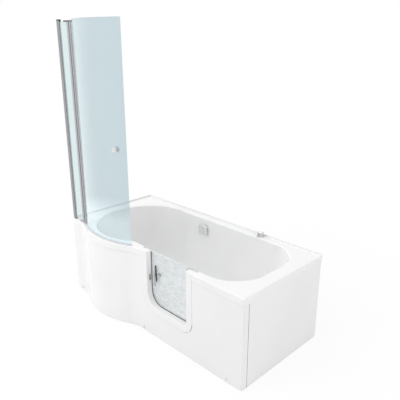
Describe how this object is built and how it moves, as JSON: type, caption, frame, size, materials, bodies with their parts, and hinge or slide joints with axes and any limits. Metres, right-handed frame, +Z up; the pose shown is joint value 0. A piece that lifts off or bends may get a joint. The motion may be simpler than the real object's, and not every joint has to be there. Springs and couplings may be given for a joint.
{
  "type": "walk-in shower bath",
  "caption": "P-shaped walk-in shower bath with an inward glass door, floor air jets, bowed front panel, end panel and a curved hinged shower screen.",
  "frame": {"origin": "middle of the footprint on the floor", "axes": "+X from the shower end to the foot end, +Y to the long wall, the door faces -Y, +Z up"},
  "size_m": [1.7, 0.85, 2.008],
  "materials": {
    "acrylic_white": "gloss",
    "panel_white": "gloss",
    "cap_white": "gloss",
    "timber": "sawn",
    "board": "pressed board",
    "steel": "zinc plated",
    "bracket_grey": "satin",
    "pad_black": "matte",
    "seal_black": "matte",
    "seal_grey": "satin",
    "door_glass": "clear",
    "screen_glass": "clear",
    "profile_silver": "bright anodised",
    "chrome": "polished",
    "pipe_white": "satin",
    "cap_dark": "satin"
  },
  "bodies": {
    "bath": {"bath_shell": "acrylic_white", "door_frame": "acrylic_white", "front_panel": "panel_white", "end_panel": "panel_white", "door_surround": "panel_white", "panel_blocks": "timber", "panel_screws": "steel", "screw_caps": "cap_white", "panel_clips": "bracket_grey", "door_seal": "seal_black", "hinge_brackets": "chrome", "hinge_pins": "steel", "base_board": "board", "leg_rails": "steel", "leg_studs": "steel", "leg_pads": "pad_black", "leg_nuts": "steel", "waste_flange": "chrome", "waste_body": "pipe_white", "overflow_ring": "chrome", "overflow_gasket": "seal_black", "overflow_body": "pipe_white", "overflow_pipe": "pipe_white", "air_jets": "chrome", "air_manifold": "pipe_white", "air_riser": "pipe_white", "blower_housing": "bracket_grey", "blower_motor": "bracket_grey", "blower_feet": "pad_black", "control_base": "chrome", "control_nut": "bracket_grey", "wall_profile": "profile_silver", "hinge_channel": "profile_silver", "infill_glass": "screen_glass", "profile_cap": "cap_dark", "pivot_brackets": "profile_silver"},
    "door": {"door_glass": "door_glass", "door_top_clip": "profile_silver", "hinge_clamps": "chrome", "latch_bush": "chrome", "latch_ring": "chrome"},
    "latch": {"latch_spindle": "steel", "latch_lever": "chrome", "latch_tongue": "chrome", "latch_knob": "chrome"},
    "screen": {"pivot_tube": "profile_silver", "screen_glass": "screen_glass", "screen_seal": "seal_grey", "screen_knobs": "cap_white", "knob_bolt": "steel"},
    "overflow_knob": {"overflow_knob": "chrome"},
    "waste_plug": {"waste_plug": "chrome", "plug_seal": "seal_black"},
    "control_dial": {"control_dial": "chrome"},
    "control_button": {"control_button": "chrome"}
  },
  "joints": [
    {"name": "door_swing", "type": "hinge", "parent": "bath", "child": "door", "pos_m": [0.442, -0.286, 0.375], "axis": [0, 0, -1], "range_deg": [0, 90]},
    {"name": "latch_turn", "type": "hinge", "parent": "door", "child": "latch", "pos_m": [0.081, -0.286, 0.427], "axis": [0, 1, 0], "range_deg": [0, 90]},
    {"name": "screen_swing", "type": "hinge", "parent": "bath", "child": "screen", "pos_m": [-0.678, -0.321, 1.3], "axis": [0, 0, 1], "range_deg": [-80, 90]},
    {"name": "overflow_turn", "type": "hinge", "parent": "bath", "child": "overflow_knob", "pos_m": [-0.128, 0.36, 0.51], "axis": [0, 1, 0], "range_deg": [0, 90]},
    {"name": "plug_lift", "type": "slide", "parent": "bath", "child": "waste_plug", "axis": [0, 0, 1], "range_m": [0, 0.012]},
    {"name": "dial_turn", "type": "hinge", "parent": "bath", "child": "control_dial", "pos_m": [0.385, 0.389, 0.6], "axis": [0, 0, 1], "range_deg": [0, 270]},
    {"name": "button_press", "type": "slide", "parent": "control_dial", "child": "control_button", "axis": [0, 0, -1], "range_m": [0, 0.004], "stiffness_N_per_m": 400}
  ],
  "couplings": [
    {"joint": "plug_lift", "follows": "overflow_turn", "m_per_rad": 0.007639}
  ]
}
